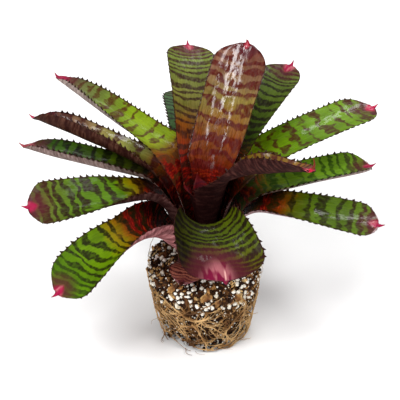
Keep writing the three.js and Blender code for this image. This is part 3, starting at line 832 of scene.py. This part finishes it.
skins = {
    "leaf_old": dict(
        ground=[(0, "4a1408"), (16, "84443a"), (30, "9a5c4e"), (60, "7c4438")],
        band="3c120c", pitch=6, cover=0.34, red_to=26, pink=0.1, claw="3c1410",
        under=("6a343a", "94686c"),
    ),
    "leaf_front_left": dict(
        ground=[(0, "2a0403"), (48, "3a0604"), (58, "7a0602"), (68, "8c1a02"), (80, "8a7200"),
                (94, "5a7800"), (150, "3c6400"), (200, "4a7008")],
        band="161400", pitch=9.5, cover=0.48, broken=0.6, slant=0.45, bow=0.006, tip_band="2c4404",
        pink=8, under=("7a4648", "b07878"), marked=0.5, gloss=0.54, fresh=0.0,
    ),
    # The front leaf has painted shade on one half and a painted highlight along the fold at its end.
    "leaf_front": dict(
        ground=[(0, "2a0403"), (56, "240a02"), (64, "3e4400"), (96, "4a5a00"), (116, "483c04"),
                (130, "4a1420"), (200, "4a1420")],
        band="100200", pitch=6.4, cover=0.6, broken=0.4, bow=0.008, red_to=64, shaded_half=0.85,
        tip_band="2c0810", pink=19, crease_highlight=9, aside=6, claw="680c2e", gloss=0.5,
    ),
    "leaf_right_low": dict(
        ground=[(0, "2a0403"), (54, "3c0602"), (64, "6a0c00"), (76, "7a3c00"), (88, "545a00"),
                (104, "4e6a08"), (200, "5a6f1d")],
        band="1d1900", pitch=14, cover=0.5, broken=0.7, red_to=96, pink=7, under=("8b6d6f", "b19999"),
        fresh=0.3, swell=0.0018,
    ),
    "leaf_left_low": dict(
        ground=[(0, "2a0403"), (60, "380802"), (70, "5a1400"), (80, "7a6a00"), (92, "486c00"),
                (130, "4c6a08"), (150, "54601c"), (200, "5c4c2c")],
        band="1c0600", pitch=12, cover=0.6, broken=0.75, slant=0.3, red_to=86, tip_band="3a140e",
        pink=8, under=("2c1210", "5a3c38"), shade=0.6,
    ),
    "leaf_right_mid": dict(
        ground=[(0, "2a0403"), (46, "1c1000"), (60, "6c4408"), (74, "5a7c10"), (200, "6a9428")],
        band="243c06", pitch=11, cover=0.4, broken=0.8, tip_band="3a2c20", pink=6,
        under=("8a746e", "b8a8a2"), fresh=0.35,
    ),
    "leaf_back_low": dict(
        ground=[(0, "2a0403"), (60, "241800"), (80, "2c5008"), (200, "5c7a5c")],
        band="24281c", pitch=9, cover=0.34,
    ),
    "leaf_left_mid": dict(
        ground=[(0, "1c0402"), (66, "2c0802"), (84, "2c2c00"), (110, "405400"), (170, "345a0c"),
                (200, "3c4c2c")],
        band="0c0c00", pitch=13, cover=0.54, tip_band="4a3430", pink=13, claw="88303a",
        under=("644f4a", "907c77"),
    ),
    "leaf_left_folded": dict(
        ground=[(0, "3a0402"), (50, "5c0a06"), (70, "6a3c10"), (96, "84883c"), (124, "8c8444"),
                (150, "8a6850"), (200, "7c5650")],
        band="3a100e", pitch=19, cover=0.46, tip_band="3c201c", pink=17, claw="90183c",
        under=("2a0c06", "523428"), marked=0.5, fresh=0.4, swell=0.002,
    ),
    "leaf_back_right_low": dict(
        ground=[(0, "2a0403"), (60, "241800"), (80, "305000"), (200, "405c1c")],
        band="201408", pitch=9, cover=0.38,
    ),
    "leaf_right_upper": dict(
        ground=[(0, "2c0402"), (58, "5c3a00"), (72, "6c8608"), (120, "587c00"), (200, "6a8a1c")],
        band="3a1806", pitch=15, cover=0.36, broken=0.9, pink=9, claw="a01440", gloss=0.3, fresh=0.3,
    ),
    "leaf_left_back": dict(
        ground=[(0, "3a0402"), (70, "6c0c02"), (84, "7a5a04"), (96, "7e9418"), (150, "6e8610"),
                (180, "6c7c34"), (230, "6a5c50")],
        band="44240c", pitch=14, cover=0.36, broken=0.9, tip_band="5c4438", pink=15, claw="840c34",
        under=("7a6a64", "a89890"),
    ),
    "leaf_right_back": dict(
        ground=[(0, "1c0806"), (66, "241800"), (90, "385004"), (130, "54681c"), (200, "64703c")],
        band="1c1408", pitch=8, cover=0.48, broken=0.5, pink=8,
    ),
    "leaf_back": dict(
        ground=[(0, "4a0602"), (70, "7a1404"), (92, "6a3c08"), (120, "6b682c"), (170, "66742c"),
                (200, "64602c")],
        band="2a1008", pitch=8.5, cover=0.46, broken=0.4, red_to=88, pink=8,
    ),
    "leaf_right_inner": dict(
        ground=[(0, "340604"), (60, "3c0602"), (76, "6a5410"), (110, "7a5a1c"), (128, "6b3f13"),
                (145, "8a4434")],
        band="40100c", pitch=8, cover=0.42, red_to=80, pink=12, claw="c01c40",
        under=("240808", "54302a"), marked=0.75, shade=0.7, fresh=0.3,
    ),
    "leaf_centre_back": dict(
        ground=[(0, "4c0402"), (50, "6a1402"), (80, "7a3a0c"), (110, "7e6c30"), (134, "866048"),
                (156, "6c342c"), (200, "5c2420")],
        band="4a0a08", pitch=13, cover=0.52, broken=0.7, red_to=76, tip_band="4c1410", pink=5,
        claw="9a2034", under=("3c1c20", "64484a"), gloss=0.3, fresh=1.0, swell=0.006,
    ),
}
HEART = dict(
    ground=[(0, "5c0402"), (24, "8c0a06"), (36, "7c1408"), (70, "4c100a")],
    band="200402", pitch=7, cover=0.4, red_to=60, pink=0.1, claw="4c0a0c",
    under=("1c0404", "340e0c"), marked=0.7, shade=0.6, gloss=0.3, fresh=0.4,
)
GREEN_LEAVES = 14
luck = random.Random(40)
for order, leaf in enumerate(LEAVES):
    name = leaf["name"]
    skin = leaf_skin(name + "_skin", order, **skins.get(name, HEART))
    slot = "leaf_green" if order < GREEN_LEAVES else "leaf_bronze"
    set_piece(name + "_blade", leaf_mesh(leaf, order, luck), skin, slot, name)


# The studio: a plain pale floor under the plant, wide soft lights, and a long lens that looks down
# at the rosette as the photographer did.

floor_finish, tree, shader = finish("studio_floor")
shader.inputs["Base Color"].default_value = (0.9, 0.9, 0.9, 1)
shader.inputs["Roughness"].default_value = 0.8
floor = bmesh.new()
bmesh.ops.create_grid(floor, x_segments=1, y_segments=1, size=6)
ground = bpy.data.objects.new("studio_floor", mesh_of("studio_floor", floor))
ground.data.materials.append(floor_finish)
bpy.context.scene.collection.objects.link(ground)


def aim(thing, spot, target):
    """Stands a light or the camera at a spot and turns it to its target."""
    thing.location = spot
    thing.rotation_euler = (Vector(target) - Vector(spot)).to_track_quat("-Z", "Y").to_euler()


def soft_light(name, spot, size, power):
    lamp = bpy.data.lights.new(name, "AREA")
    lamp.shape = "RECTANGLE"
    lamp.size, lamp.size_y = size
    lamp.energy = power
    light = bpy.data.objects.new(name, lamp)
    bpy.context.scene.collection.objects.link(light)
    aim(light, spot, (0, 0, 0.13))


# The two strips are narrow, for the long streaks of shine on the left and the front leaves.
soft_light("key_light", (-0.9, -1.0, 1.8), (0.8, 0.8), 27)
soft_light("right_light", (1.0, -0.9, 1.7), (0.5, 0.6), 17)
soft_light("left_strip", (-1.37, -0.68, 1.29), (0.2, 0.8), 5)
soft_light("front_strip", (-0.25, -1.36, 1.47), (0.16, 0.6), 3)
soft_light("fill_light", (-0.9, -1.35, 0.5), (0.8, 0.6), 8)
soft_light("top_light", (0.1, 0.2, 1.9), (0.5, 0.5), 9)
soft_light("back_light", (0.15, 1.25, 1.38), (1.0, 0.3), 10)
world = bpy.data.worlds.new("studio")
world.use_nodes = True
world.node_tree.nodes["Background"].inputs["Color"].default_value = (1, 1, 1, 1)
world.node_tree.nodes["Background"].inputs["Strength"].default_value = 0.34
bpy.context.scene.world = world
bpy.context.scene.view_settings.view_transform = "Standard"

lens = bpy.data.cameras.new("camera")
lens.lens = 124.7
lens.sensor_width = 36
lens.clip_end = 30
camera = bpy.data.objects.new("camera", lens)
bpy.context.scene.collection.objects.link(camera)
tilt = math.radians(33)
middle = Vector((-0.004, 0, 0.131))
distance = 1.15
aim(camera, middle - Vector((0, math.cos(tilt), -math.sin(tilt))) * distance, middle)
bpy.context.scene.camera = camera
